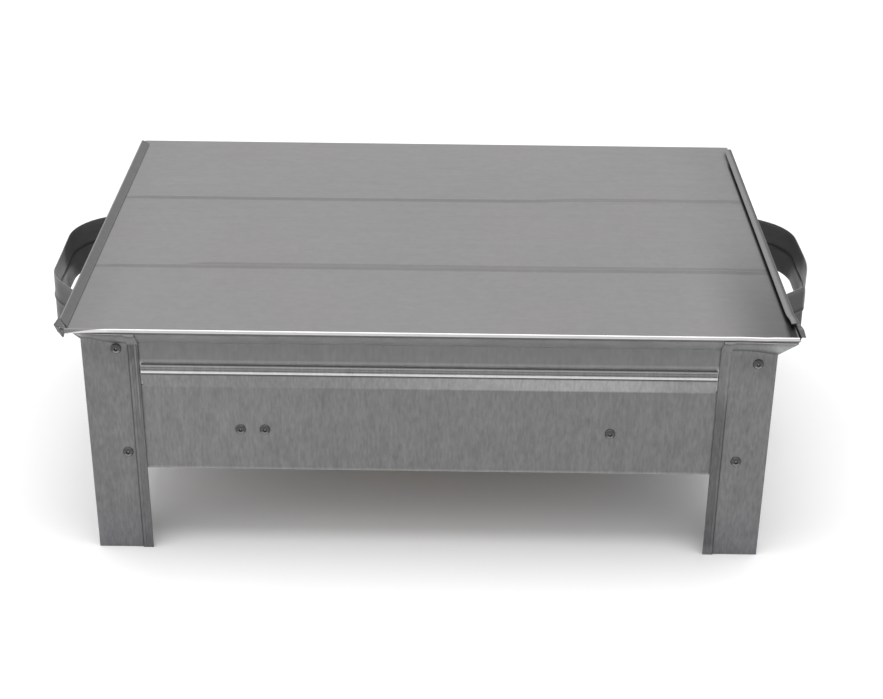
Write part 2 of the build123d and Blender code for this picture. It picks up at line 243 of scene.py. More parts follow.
def joined(name, objects):
    """Several mesh objects made into one."""
    first = objects[0]
    bm = bmesh.new()
    for obj in objects:
        bm.from_mesh(obj.data)
    bm.to_mesh(first.data)
    bm.free()
    for obj in objects[1:]:
        bpy.data.objects.remove(obj)
    first.name = name
    first.data.name = name
    return first


# ---- materials ----
class Nodes:
    """A short way to wire shader nodes."""

    def __init__(self, name):
        self.material = bpy.data.materials.new(name)
        self.material.use_nodes = True
        self.tree = self.material.node_tree
        self.tree.nodes.clear()
        self.out = self.add("ShaderNodeOutputMaterial")

    def add(self, kind, **values):
        node = self.tree.nodes.new(kind)
        for key, value in values.items():
            setattr(node, key, value)
        return node

    def link(self, source, target):
        self.tree.links.new(source, target)

    def coords(self, scale, shuffle=0.0):
        """Object coordinates stretched by a scale per axis; shuffled, each object starts anew."""
        place = self.add("ShaderNodeMapping")
        place.inputs["Scale"].default_value = scale
        if shuffle:
            chance = self.add("ShaderNodeObjectInfo").outputs["Random"]
            self.link(self.math("MULTIPLY", chance, shuffle), place.inputs["Location"])
        self.link(self.add("ShaderNodeTexCoord").outputs["Object"], place.inputs["Vector"])
        return place.outputs["Vector"]

    def noise(self, scale, detail=3.0, rough=0.5, at=(1, 1, 1), shuffle=0.0):
        node = self.add("ShaderNodeTexNoise")
        node.inputs["Scale"].default_value = scale
        node.inputs["Detail"].default_value = detail
        node.inputs["Roughness"].default_value = rough
        self.link(self.coords(at, shuffle), node.inputs["Vector"])
        return node.outputs["Fac"]

    def spangle(self, scale):
        node = self.add("ShaderNodeTexVoronoi")
        node.inputs["Scale"].default_value = scale
        node.inputs["Randomness"].default_value = 1.0
        self.link(self.coords((1, 1, 1)), node.inputs["Vector"])
        split = self.add("ShaderNodeSeparateColor")
        self.link(node.outputs["Color"], split.inputs["Color"])
        return split.outputs["Red"]

    def math(self, operation, a, b=None, clamp=False):
        node = self.add("ShaderNodeMath", operation=operation, use_clamp=clamp)
        for socket, value in zip(node.inputs, (a, b)):
            if isinstance(value, (int, float)):
                socket.default_value = value
            elif value is not None:
                self.link(value, socket)
        return node.outputs[0]

    def product(self, value, *factors):
        """A value multiplied by each factor in turn."""
        for factor in factors:
            value = self.math("MULTIPLY", value, factor)
        return value

    def spread(self, fac, strength):
        """A factor of 0..1 turned into 1 - strength .. 1 + strength."""
        shifted = self.math("SUBTRACT", fac, 0.5)
        return self.math("ADD", self.math("MULTIPLY", shifted, 2 * strength), 1.0)

    def attribute(self, name):
        return self.add("ShaderNodeAttribute", attribute_name=name).outputs["Fac"]

    def grey(self, value, warm=1.0, cool=1.0):
        join = self.add("ShaderNodeCombineColor")
        self.link(self.math("MULTIPLY", value, warm), join.inputs["Red"])
        self.link(value, join.inputs["Green"])
        self.link(self.math("MULTIPLY", value, cool), join.inputs["Blue"])
        return join.outputs["Color"]

    def bump(self, height, strength, distance, normal=None):
        node = self.add("ShaderNodeBump")
        node.inputs["Strength"].default_value = strength
        node.inputs["Distance"].default_value = distance
        self.link(height, node.inputs["Height"])
        if normal is not None:
            self.link(normal, node.inputs["Normal"])
        return node.outputs["Normal"]


# How strongly fine grain, spangle, and worn spots and painted highlights show on zinc, and the
# scales of its patterns.
GRAIN, SPANGLE, WEAR_AND_HIGHLIGHT_LIFT, WEAR_AND_HIGHLIGHT_POLISH = 0.04, 0.025, 0.36, 0.12
GRAIN_SCALE, SPANGLE_SCALE, CLOUD_SCALE, CAST_SCALE, BUCKLE_SCALE = 900.0, 160.0, 7.0, 11.0, 9.0
WIDE_STREAKS = 0.22
# The legs turn cooler in colour below this height in metres, at this rate.
BLUE_BELOW, BLUE_SLOPE = 0.055, 18.0


def galvanised(name, base, streak=(480, 480, 110), metallic=0.8, rough=0.42, streak_amount=0.1,
               painted=True, clouded=0.07, hue=0.006, blue_foot=0.0, warm=0.0):
    """Zinc-coated sheet: faint spangle, rolling streaks, slow clouding, worn bright edges and
    painted highlights, with painted light and shade from its tone.
    """
    n = Nodes(name)
    streaks = n.noise(1.0, 2.0, 0.6, at=streak)
    wide = n.noise(1.0, 2.0, 0.5, at=tuple(s * WIDE_STREAKS for s in streak))
    clouds = n.noise(CLOUD_SCALE, 3.0)
    grain = n.noise(GRAIN_SCALE, 2.0)
    level = n.product(
        n.spread(streaks, streak_amount), n.spread(wide, streak_amount * 0.6),
        n.spread(clouds, clouded), n.spread(n.spangle(SPANGLE_SCALE), SPANGLE),
        n.spread(grain, GRAIN), n.attribute("tone") if painted else 1.0, base)
    wear_and_highlight = n.attribute("wear_and_highlight") if painted else n.math("MULTIPLY", clouds, 0.05)
    level = n.math("ADD", level, n.math("MULTIPLY", wear_and_highlight, WEAR_AND_HIGHLIGHT_LIFT), clamp=True)
    shader = n.add("ShaderNodeBsdfPrincipled")
    cast = n.math("ADD", n.spread(n.noise(CAST_SCALE, 1.0), hue), warm)
    cool = n.math("SUBTRACT", 2.006 + warm, cast)
    if blue_foot:
        height = n.add("ShaderNodeSeparateXYZ")
        n.link(n.coords((1, 1, 1)), height.inputs[0])
        below = n.math("SUBTRACT", BLUE_BELOW, height.outputs["Z"])
        low = n.math("MULTIPLY", below, BLUE_SLOPE, clamp=True)
        cool = n.math("ADD", cool, n.math("MULTIPLY", low, blue_foot))
    n.link(n.grey(level, cast, cool), shader.inputs["Base Color"])
    metal = n.math("ADD", metallic, n.math("MULTIPLY", wear_and_highlight, 1 - metallic), clamp=True)
    n.link(metal, shader.inputs["Metallic"])
    roughness = n.math("MULTIPLY", n.spread(wide, 0.25), rough)
    roughness = n.math("SUBTRACT", roughness, n.math("MULTIPLY", wear_and_highlight, WEAR_AND_HIGHLIGHT_POLISH), clamp=True)
    n.link(roughness, shader.inputs["Roughness"])
    normal = n.bump(n.noise(BUCKLE_SCALE, 1.0), 0.35, 0.004)
    normal = n.bump(streaks, 0.10, 0.0004, normal)
    n.link(n.bump(grain, 0.10, 0.0003, normal), shader.inputs["Normal"])
    n.link(shader.outputs[0], n.out.inputs["Surface"])
    return n.material


def rivet_metal(name, base):
    """Dull aluminium with a fine grain and slow blotches."""
    n = Nodes(name)
    grain, blotches = n.noise(700.0, 3.0), n.noise(30.0, 2.0)
    level = n.product(n.spread(grain, 0.15), base, n.spread(blotches, 0.15), n.attribute("tone"))
    shader = n.add("ShaderNodeBsdfPrincipled")
    n.link(n.grey(level), shader.inputs["Base Color"])
    shader.inputs["Metallic"].default_value = 1.0
    n.link(n.math("MULTIPLY", n.spread(grain, 0.3), 0.24), shader.inputs["Roughness"])
    n.link(n.bump(grain, 0.15, 0.0003), shader.inputs["Normal"])
    n.link(shader.outputs[0], n.out.inputs["Surface"])
    return n.material


# Shares of growth bands, fibres, slow warp and the board's own shade in the wood's colour.
BANDS, FIBRES, WARP, BOARD = 0.55, 0.35, 0.5, 0.45


def planed_wood(name, light, dark):
    """Softwood with grain along Y: growth bands, fine pores and a dry sheen."""
    n = Nodes(name)
    warp = n.noise(3.0, 2.0, 0.5, at=(4, 1, 4), shuffle=9.0)
    wave = n.add("ShaderNodeTexWave", wave_type="RINGS", rings_direction="Y")
    wave.inputs["Scale"].default_value = 26.0
    wave.inputs["Distortion"].default_value = 9.0
    wave.inputs["Detail"].default_value = 3.0
    wave.inputs["Detail Scale"].default_value = 1.2
    n.link(n.coords((1.0, 0.10, 1.0), shuffle=0.9), wave.inputs["Vector"])
    fibres = n.noise(1.0, 4.0, 0.6, at=(900, 18, 900), shuffle=60.0)
    mix = n.math("MULTIPLY", wave.outputs["Fac"], BANDS)
    mix = n.math("ADD", mix, n.math("MULTIPLY", fibres, FIBRES))
    mix = n.math("ADD", mix, n.math("MULTIPLY", n.math("SUBTRACT", warp, 0.5), WARP))
    board = n.math("SUBTRACT", n.add("ShaderNodeObjectInfo").outputs["Random"], 0.5)
    mix = n.math("ADD", mix, n.math("MULTIPLY", board, BOARD), clamp=True)
    ramp = n.add("ShaderNodeValToRGB")
    ramp.color_ramp.elements[0].color = (*light, 1)
    ramp.color_ramp.elements[1].color = (*dark, 1)
    ramp.color_ramp.elements[0].position = 0.18
    ramp.color_ramp.elements[1].position = 0.95
    n.link(mix, ramp.inputs["Fac"])
    shader = n.add("ShaderNodeBsdfPrincipled")
    n.link(ramp.outputs["Color"], shader.inputs["Base Color"])
    n.link(n.math("MULTIPLY", n.spread(fibres, 0.2), 0.62), shader.inputs["Roughness"])
    n.link(n.bump(fibres, 0.25, 0.0006), shader.inputs["Normal"])
    n.link(shader.outputs[0], n.out.inputs["Surface"])
    return n.material


LID_METAL = galvanised("galvanised_lid", 0.232, streak=(60, 380, 60), streak_amount=0.05,
                       clouded=0.05, hue=0.015, warm=0.022)
WALL_METAL = galvanised("galvanised_wall", 0.168, streak_amount=0.30)
LEG_METAL = galvanised("galvanised_leg", 0.157, streak_amount=0.34, clouded=0.12, blue_foot=0.05)
COLLAR_METAL = galvanised("galvanised_collar", 0.162, streak=(300, 300, 90), streak_amount=0.14)
HANDLE_METAL = galvanised("galvanised_strap", 0.13, streak=(60, 60, 500), metallic=0.45, rough=0.45,
                          streak_amount=0.2, clouded=0.15)
FLOOR_METAL = galvanised("galvanised_floor", 0.30, streak=(400, 14, 400), painted=False)
WIRE_METAL = galvanised("galvanised_wire", 0.34, rough=0.36)
DISC_METAL = galvanised("galvanised_disc", 0.33, streak=(700, 700, 20), rough=0.34, painted=False)
RIVET_METAL = rivet_metal("rivet_aluminium", 0.20)
BAR_WOOD = planed_wood("planed_softwood", (0.50, 0.35, 0.20), (0.30, 0.18, 0.09))
BOARD_WOOD = planed_wood("planed_board", (0.45, 0.31, 0.18), (0.26, 0.15, 0.075))


def ready(obj, body, node):
    """Rides on a body and stands for a CAD node, which it hides."""
    weighted(obj)
    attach(obj, body)
    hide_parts(node)


def plain_limits(low, high):
    """Square ends for a swept piece."""
    return lambda d, z: (low, high)


def mitred(outward):
    """Ends cut at 45 degrees, to meet the two neighbouring sides."""
    extra = (HALF_X - HALF_Y) if outward.x == 0 else (HALF_Y - HALF_X)
    return lambda d, z: (-(d + extra), d + extra)


def half_size(outward):
    """Distance from the middle of the box to the side that faces outward."""
    return HALF_Y if outward.x == 0 else HALF_X


# ---- lower walls ----
# The front wall has more levels and rows than the others, to hold its dents.
WALL_LEVELS = {"front": 34, "back": 10, "left": 10, "right": 10}
WALL_ROWS = {"front": 260, "back": 60, "left": 60, "right": 60}
# Small dents of the front wall as (x, z, width, height, how far out).
DENTS = (
    (145.5, 157.0, 5.5, 3.5, -0.5),
    (171.0, 139.5, 7.0, 5.0, 0.35),
    (162.0, 134.5, 4.0, 2.5, -0.35),
)
RIPPLE_DEPTH, RIPPLE_LENGTH = 0.35, 130.0
RIPPLE_START = Vector((3.1, 5.27, 0))


def ripple(point, outward):
    """A slow hand-made waviness of a sheet, along its outward direction."""
    sample = point / RIPPLE_LENGTH + RIPPLE_START
    return point + outward * (noise.noise(sample) * RIPPLE_DEPTH)


def wall_shape(outward):
    """Slow waviness of a wall panel, kept still at its edges and behind the legs."""
    length = HALF_X if outward.x == 0 else HALF_Y
    free_half, fade_height = length - 45, 20

    def shape(point):
        along = point.x if outward.x == 0 else point.y
        middle = max(0.0, 1 - (along / free_half) ** 2)
        low = min(1.0, max(0.0, (SKIRT_BOTTOM - point.z) / fade_height))
        moved = point.lerp(ripple(point, outward), middle * low)
        if outward is FRONT:
            for x, z, wide, tall, deep in DENTS:
                off = ((point.x - x) / wide) ** 2 + ((point.z - z) / tall) ** 2
                moved += outward * deep * math.exp(-off * 2)
        return moved

    return shape


def wall_tint(along, z):
    """The sheet is a little darker towards the right."""
    return 1.04 - 0.0002 * (along + HALF_X)


def mouth_band_light(along, z):
    """Painted light: the flared band below the bead brightens to the right of the middle."""
    if z > MOUTH_LIP - 0.6 or z < WALL_TOP - MOUTH_FOOT + 0.6:
        return wall_tint(along, z)
    rise = smooth((along + 150) / 290) * (1 - 0.6 * smooth((along - 170) / 60))
    return 1.05 + 0.62 * rise


MOUTH_SHEET = 0.9
MOUTH_RADII = [1.0, 0.65, 0.65] + [0.25] * 6 + [0.4] * 3
BEAD_MIDDLE = 182.5
GROOVE_HEIGHTS = (187.5, 184.85)


def mouth_points(lip):
    """The wall's mouth: flare, upright band, hem with two fine grooves and a rolled bead."""
    out = lip + MOUTH_HEM
    return [
        (lip - MOUTH_OUT, WALL_TOP - MOUTH_FOOT), (lip, MOUTH_LIP), (lip, MOUTH_TOP),
        (out, MOUTH_TOP), (out, 188.0), (out - 0.35, 187.5), (out, 187.0),
        (out, 185.4), (out - 0.35, 184.9), (out + 0.2, 184.5),
        (out + 1.2, 183.9), (out + 1.5, 183.1), (out + 1.1, 182.4), (out + 0.4, 181.9),
    ]


def paint_mouth_light(p, bead):
    """Painted light and shade on the mouth: painted shade in the grooves and at the lip's bend, a
    painted highlight on the bead and a fainter one on the hem's top fold, and a painted dark line
    below the bead.
    """
    wear_and_highlight = 0.30 if p.y > MOUTH_TOP - 0.8 else 0.0
    if abs(p.y - MOUTH_LIP) < 0.7:
        return wear_and_highlight, 0.35
    if p.y > BEAD_MIDDLE:
        if p.x > bead:
            return 0.95, 1.7
        groove = min(abs(p.y - z) for z in GROOVE_HEIGHTS)
        return wear_and_highlight, 0.45 if groove < 0.35 else 1.1
    return wear_and_highlight, 0.35 if p.x > bead - 0.1 else 1.1


for side, outward in SIDES.items():
    centre = half_size(outward) - SHEET * 1.5
    top = WALL_TOP if side in ("front", "back") else SIDE_WALL_TOP
    count = WALL_LEVELS[side]
    height = top - WALL_BOTTOM - EDGE_GAP
    levels = [WALL_BOTTOM + EDGE_GAP + height * i / count for i in range(count + 1)]
    path = [Vector((centre, z)) for z in levels]
    wear_and_highlight = [0.25] + [0.0] * count
    ring, w, t = section_ring(path, SHEET, wear_and_highlight, [1.0] * len(path))
    pieces = [swept("wall", ring, w, t, outward, mitred(outward), WALL_ROWS[side], WALL_METAL,
                    wall_shape(outward), wall_tint)]
    if side in ("front", "back"):
        path = rounded(mouth_points(centre + MOUTH_OUT), MOUTH_RADII)
        path = braced(path, 2.0, 0.3)
        bead = centre + MOUTH_OUT + MOUTH_HEM + 0.3
        # Painted highlights and shade along the mouth's section.
        mouth_light = [paint_mouth_light(p, bead) for p in path]
        wear_and_highlight, tone = [f[0] for f in mouth_light], [f[1] for f in mouth_light]
        ring, w, t = section_ring(path, MOUTH_SHEET, wear_and_highlight, tone)
        limits = plain_limits(-MOUTH_HALF_LEN, MOUTH_HALF_LEN)
        pieces.append(swept("mouth", ring, w, t, outward, limits, 60, WALL_METAL, None,
                            mouth_band_light))
        # A ledge closes the gap between the collar and the top of the hem.
        near, reach = centre + 0.6, centre + MOUTH_OUT + MOUTH_HEM
        low, high = MOUTH_TOP - 0.6, MOUTH_TOP + 0.2
        ledge = [Vector(p) for p in ((near, low), (reach, low), (reach, high), (near, high))]
        pieces.append(swept("ledge", ledge, [0.0] * 4, [0.9] * 4, outward, limits, 60, WALL_METAL))
    wall = joined("wall_%s_sheet" % side, pieces)
    ready(wall, "box", "wall_" + side)


# ---- collar with flared rim and lid guides ----
def collar_painted_light(along, z):
    """Painted light and shade: darker just under the crease, lighter towards the mouth and much
    lighter at its ledge.
    """
    if z > CREASE - 1:
        return 1.0
    return 0.93 + 0.14 * smooth((CREASE - z) / 26) + 2.0 * smooth((MOUTH_TOP + 4 - z) / 4)


def corner_lift(point):
    """The bend of the flare climbs at the front left corner and sinks at the front right one."""
    lift = 5.0 * smooth((-268 - point.x) / 32) * smooth((-178 - point.y) / 32)
    lift += 4.0 * smooth((-298.5 - point.x) / 5) * smooth((-150 - point.y) / 60)
    lift -= 3.0 * smooth((point.x - 275) / 26) * smooth((-185 - point.y) / 25)
    if point.z > CREASE:
        share = max(0.0, (RIM_TOP - point.z) / (RIM_TOP - CREASE))
    else:
        share = smooth((point.z - 188) / (CREASE - 188))
    return point + UP * (lift * share)


def flare_tone(z, front):
    """Painted light where the flare catches light from the floor, and painted shade on its top
    edge, which lies in the shade of the lid.
    """
    if z < CREASE + 0.5:
        return 1.0
    if z > RIM_TOP - 2.6:
        return 1.2
    return 2.25 if front else 1.5


def guide_limits(side):
    """The ends of a guide; its front end is cut on the slant."""
    front, back, slant = GUIDE_ENDS[side]
    rim = half_size(SIDES[side]) - SHEET * 1.5 + GUIDE_OUT
    return lambda d, z: (front - slant * (rim - d), back)


def guide_shape(point):
    """The right guide leans out a little towards its front end."""
    lean = 2.0 * smooth((-184 - point.y) / 16) * smooth((point.x - 300) / 6)
    return point + Vector((lean, 0, 0))


def patch(name, corners, tone, crumple, cells=8, thickness=0.9):
    """A small hand-bent piece of sheet between four corners, given in order."""
    a, b, c, d = (Vector(corner) for corner in corners)
    facing = (b - a).cross(d - a).normalized()
    verts, faces = [], []
    for layer in (0.5, -0.5):
        for i in range(cells + 1):
            for j in range(cells + 1):
                u, v = i / cells, j / cells
                spot = a.lerp(b, u).lerp(d.lerp(c, u), v)
                bend = noise.noise(spot / 3.1) * crumple * math.sin(math.pi * min(u, v))
                verts.append(spot + facing * (bend + layer * thickness))
    side, n = cells + 1, (cells + 1) ** 2
    for i in range(cells):
        for j in range(cells):
            k = i * side + j
            faces.append((k, k + 1, k + side + 1, k + side))
            faces.append((n + k, n + k + side, n + k + side + 1, n + k + 1))
    rim = [j for j in range(side)] + [i * side + cells for i in range(1, side)]
    rim += [cells * side + j for j in reversed(range(cells))]
    rim += [i * side for i in reversed(range(1, cells))]
    faces += [(p, q, n + q, n + p) for p, q in zip(rim, rim[1:] + rim[:1])]
    return add_object(name, verts, faces, COLLAR_METAL, None, [tone] * len(verts))


# Front end, rear end and slant of each guide, and the heights of its outer and inner edge.
GUIDE_ENDS = {"left": (-212.5, 216.0, 1.35), "right": (-202.5, 212.0, 0.3)}
GUIDE_EDGE_Z = {"left": (234.5, 230.6), "right": (233.2, 233.2)}
# Folded scraps of sheet where guide, flare and lip meet: four corners and a tone for each, which
# paints their shade, darkest in the hollow at the front right.
CORNER_PATCHES = {
    "left": (
        (((-316.0, -212.2, 234.4), (-319.8, -216.6, 229.8), (-314.6, -223.3, 230.7),
          (-308.6, -222.8, 231.2)), 0.75),
        (((-319.8, -216.6, 229.8), (-314.6, -223.3, 230.7), (-310.3, -226.3, 222.8),
          (-315.6, -221.5, 225.6)), 0.7),
        (((-314.4, -220.6, 228.3), (-309.2, -220.4, 228.3), (-309.2, -223.5, 228.3),
          (-314.4, -223.3, 228.8)), 0.7),
        (((-314.4, -223.3, 228.9), (-309.2, -223.4, 228.3), (-309.2, -226.6, 226.2),
          (-310.2, -226.4, 222.8)), 0.7),
    ),
    "right": (
        (((313.6, -199.0, 233.6), (317.0, -203.8, 233.0), (319.6, -210.5, 231.0),
          (315.2, -211.0, 230.4)), 0.6),
        (((315.2, -211.0, 230.4), (319.6, -210.5, 231.0), (319.7, -221.6, 229.2),
          (315.8, -220.8, 229.0)), 0.6),
        (((314.2, -199.0, 233.4), (315.2, -211.0, 230.4), (314.2, -211.0, 226.8),
          (314.1, -199.0, 227.2)), 0.2),
        (((315.2, -211.0, 230.4), (315.8, -221.0, 229.2), (314.6, -223.0, 226.0),
          (314.2, -211.0, 226.8)), 0.2),
    ),
}
for side, outward in SIDES.items():
    centre = half_size(outward) - SHEET * 1.5
    split = (centre + (RIM_TOP - CREASE) * FLARE, RIM_TOP)
    points = [
        (centre - JOGGLE_DEPTH, SKIRT_BOTTOM + 0.3),
        (centre - JOGGLE_DEPTH, MOUTH_LIP),
        (centre, MOUTH_TOP - 2.5),
        (centre, CREASE),
        split,
    ]
    path = braced(rounded(points, [0.8, 0.8, 1.8]), 2.5)
    tone = [flare_tone(p.y, side == "front") for p in path]
    ring, w, t = section_ring(path, SHEET, [0.0] * len(path), tone)
    w = [0.2 if v else 0.0 for v in w]
    pieces = [swept("collar", ring, w, t, outward, mitred(outward), 60, COLLAR_METAL,
                    corner_lift, collar_painted_light)]
    if side in GUIDE_ENDS:
        rim = centre + GUIDE_OUT
        ridge_z, inner_z = GUIDE_EDGE_Z[side]
        line = [split, (rim, CREASE + GUIDE_OUT / FLARE), (rim, ridge_z),
                (rim - GUIDE_IN[side], inner_z)]
        path = braced(rounded(line, [0.5, 0.8]), 3.0)
        # Painted light and shade on the guides: the left one a lighter ridge, a darker band and a
        # painted light line at its inner edge and cut edges; the right one a painted dark outer
        # bend and a lighter band.
        if side == "left":
            tone = [1.3 if p.x > rim - 0.8 and p.y > ridge_z - 1.2 else 0.75 for p in path]
        else:
            tone = [0.45 if p.x > rim - 2.2 else 1.3 for p in path]
        tone[-1] *= 1.8 if side == "left" else 1.0
        ring, w, t = section_ring(path, SHEET, [0.0] * len(path), tone)
        w = [0.1 if v and side == "left" else 0.0 for v in w]
        pieces.append(swept("guide", ring, w, t, outward, guide_limits(side), 50, COLLAR_METAL,
                            guide_shape))
        pieces += [patch("flap", corners, shade_of, 0.6)
                   for corners, shade_of in CORNER_PATCHES[side]]
    collar = joined("collar_%s_sheet" % side, pieces)
    ready(collar, "box", "collar_" + side)


# ---- legs ----
def hem_painted_light(inner, right):
    """Painted shade and light on the hem: fine dark lines where the hem's edge lies on the flange,
    a painted light line, and the hem painted darker overall, on the right leg most in its lower
    middle.
    """

    def tint(along, z):
        if z > CREASE - 1.5:
            return 1.0
        across = abs(abs(along) - inner)
        level, line = 0.84, 0.55
        if right:
            level = 0.64 + 0.34 * smooth((z - 140) / 40) + 0.35 * smooth((12 - z) / 8)
            line = 0.6 + 0.32 * smooth((z - 150) / 30)
        if across > 8.3 or abs(across - 6.0) < 0.3:
            level *= line
        elif 6.3 < across <= 8.3:
            level *= 1.12
        if not right and z > 120:
            fade = smooth((z - 120) / 45)
            if 1.9 < across < 3.1:
                level *= 1 + 0.35 * fade
            elif across < 4.0:
                level *= 1 - 0.25 * fade
            else:
                level *= 1 - 0.3 * smooth((z - 190) / 5)
        return level

    return tint


def flange_painted_shade(inner, right):
    """Painted shade: a dark line beside the hem and a shade under the bend."""

    def tint(along, z):
        if z > CREASE - 1.5:
            return 1.0
        across = abs(abs(along) - inner)
        line = 0.6 + (0.32 * smooth((z - 150) / 30) if right else 0.0)
        level = 1.0 - 0.10 * smooth((z - 175) / 25)
        return level * (line if LEG_HEM <= across < LEG_HEM + 0.7 else 1.0)

    return tint


def leg_flange(outward, other, front, right):
    """One flange of a leg, with its tab under the flare and the hem along its inner edge."""
    mid = half_size(outward) - SHEET / 2
    reach = half_size(other)
    inner = reach - LEG_WIDTH
    sign = other.x + other.y
    bend = math.atan(FLARE)
    set_back = SHEET * math.tan(bend / 2)
    crease = CREASE - set_back - 0.05
    top = Vector((mid + (LEG_TAB_TOP - crease) * FLARE, LEG_TAB_TOP))
    path = braced(rounded([(mid, EDGE_GAP), (mid, crease), top], 0.8))
    wear_and_highlight = [0.3] + [0.0] * (len(path) - 2) + [0.1]
    tone = [flare_tone(p.y + 0.4, front) for p in path]
    ring, w, t = section_ring(path, SHEET, wear_and_highlight, tone)

    def limits(d, z):
        return inner * sign, (reach + d - half_size(outward)) * sign

    flange = swept("flange", ring, w, t, outward, limits, 90, LEG_METAL, corner_lift,
                   flange_painted_shade(inner, right))
    over = mid + SHEET
    tip = top + Vector((math.cos(bend), -math.sin(bend))) * SHEET
    path = braced(rounded([(over, EDGE_GAP), (over, crease - set_back), tip], 0.8))
    tone = [flare_tone(p.y + 0.9, front) for p in path]
    ring, w, t = section_ring(path, SHEET * 0.98, [0.0] * len(path), tone)
    limits = plain_limits(inner * sign, (inner + LEG_HEM) * sign)
    hem = swept("hem", ring, w, t, outward, limits, 30, LEG_METAL, corner_lift,
                hem_painted_light(inner, right))
    return [flange, hem]


for end, face in (("front", FRONT), ("rear", BACK)):
    for hand, across in (("left", LEFT), ("right", RIGHT)):
        pieces = []
        for outward, other in ((face, across), (across, face)):
            pieces += leg_flange(outward, other, end == "front", hand == "right")
        leg = joined("leg_%s_%s_angle" % (end, hand), pieces)
        ready(leg, "box", "leg_%s_%s" % (end, hand))


# ---- lid ----
lid_low, lid_high = box_mm("lid_panel")
LID_TOP = 230.0
LID_EDGE = lid_high.x
# The rolled lip: its ends, its depth, how far it drops and how far the sheet rises into it.
LIP_LEFT, LIP_RIGHT = -309.0, 313.5
LIP_BAND = 1.6
LIP_DROP = 2.5
LIP_RISE = 0.9
LIP_STEPS = 14
# Beyond the lip's left end the sheet is cut back to here.
CUT_FRONT = -223.2
CREASES = (-92.6, 70.9)
# Shallow dents that run from front to back: where in x, and how high.
LID_DENTS = ((262.0, 0.30), (283.0, -0.35))


def crease_height(y):
    """A pressed crease: a fine crest with a longer slope towards the front."""
    height = 0.0
    for crease in CREASES:
        off = y - crease
        height += 1.0 * (max(0.0, 1 - off / 2.4) if off >= 0 else max(0.0, 1 + off / 6.5))
    return height


def lid_height(x, y):
    """Height of the lid's top face: two pressed creases and a slight hand-made sag."""
    inside = smooth((LID_EDGE - 12 - abs(x)) / 14)
    height = LID_TOP + crease_height(y) * inside
    height += LIP_RISE * smooth((lid_low.y + LIP_BAND + 8 - y) / 8)
    calm = smooth((LID_EDGE - abs(x)) / 60) * smooth((y - lid_low.y) / 50)
    calm *= smooth((lid_high.y - y) / 50)
    sample = Vector((x / 210.0, y / 150.0, 4.2))
    for at, depth in LID_DENTS:
        wander = at + 6.0 * noise.noise(Vector((at, y / 55.0, 0.0)))
        height += depth * math.exp(-((x - wander) / 4.5) ** 2) * smooth((90 - y) / 60)
    return height + 0.55 * noise.noise(sample) * calm


def lid_rows():
    """Depths of the lid's rows, close together at the creases and at the front."""
    rows = {lid_high.y, lid_high.y - 1.2}
    y = lid_low.y + LIP_BAND + 1.0
    while y < lid_high.y - 4:
        rows.add(y)
        y += 7.0
    for crease in CREASES:
        rows = {r for r in rows if abs(r - crease) > 12}
        rows |= {crease + 0.5 * k for k in range(-16, 20)}
    return sorted(rows)


def lid_columns():
    """Places of the lid's columns, close together near both ends of the lip."""
    left = [-LID_EDGE, -LID_EDGE + 0.8, LIP_LEFT - 0.6, LIP_LEFT]
    left += [-308, -307, -306, -305, -303.5]
    middle = [-302 + 602 * i / 86 for i in range(87)]
    right = [302, 303.2, 304.0, 304.8, 305.6, 307.0, 309.0, LIP_RIGHT - 1.5, LIP_RIGHT - 0.5]
    return left + middle + right + [LIP_RIGHT]


def lip_section(x):
    """Points and painted highlight of the rolled front edge at x, from the flat sheet to its end.
    """
    corner = max(0.0, (-265 - x) / 44.0)
    unlit_depth = 5.0 * corner ** 1.9
    full = LIP_DROP + 1.66 * corner ** 2
    points = []
    for k in range(LIP_STEPS):
        turn = math.pi / 2 * k / (LIP_STEPS - 1)
        y = lid_low.y + LIP_BAND * (1 - math.sin(turn))
        drop = full * (1 - math.cos(turn))
        seen = 0.6 * LIP_BAND * math.sin(turn) + 0.93 * drop
        points.append((y, lid_height(x, y) - drop, smooth((seen - unlit_depth) / 0.45 + 0.5)))
    return points


def crease_shade(x, y):
    """The painted shade band of each crease, in front of its crest, wider on part of its length."""
    front, rear = y - CREASES[0], y - CREASES[1]
    wide = smooth((x + 245) / 40)
    if -6.0 < front < -0.6 + 8.0 * wide:
        return 0.88 if -0.6 < front < 1.6 else 0.81
    wide = smooth((x - 60) / 100)
    if -6.5 + 4.5 * wide < rear < -0.6 + 8.5 * wide:
        return 0.81
    return 1.0


def lid_tone(x, y):
    """Painted shade towards the front corners, in the creases and below the right guide."""
    front = smooth((20 - y) / 240)
    tone = 1.0 - smooth((x - 235) / 65) * (0.09 + 0.42 * front)
    tone -= smooth((-262 - x) / 40) * (0.04 + 0.07 * front)
    tone *= crease_shade(x, y)
    tone *= 1 - 0.85 * smooth((x - 305.8) / 1.4) * smooth((178 - y) / 6)
    tone *= 1 - 0.6 * smooth((x - 303) / 3.5) * smooth((-200 - y) / 6)
    return tone


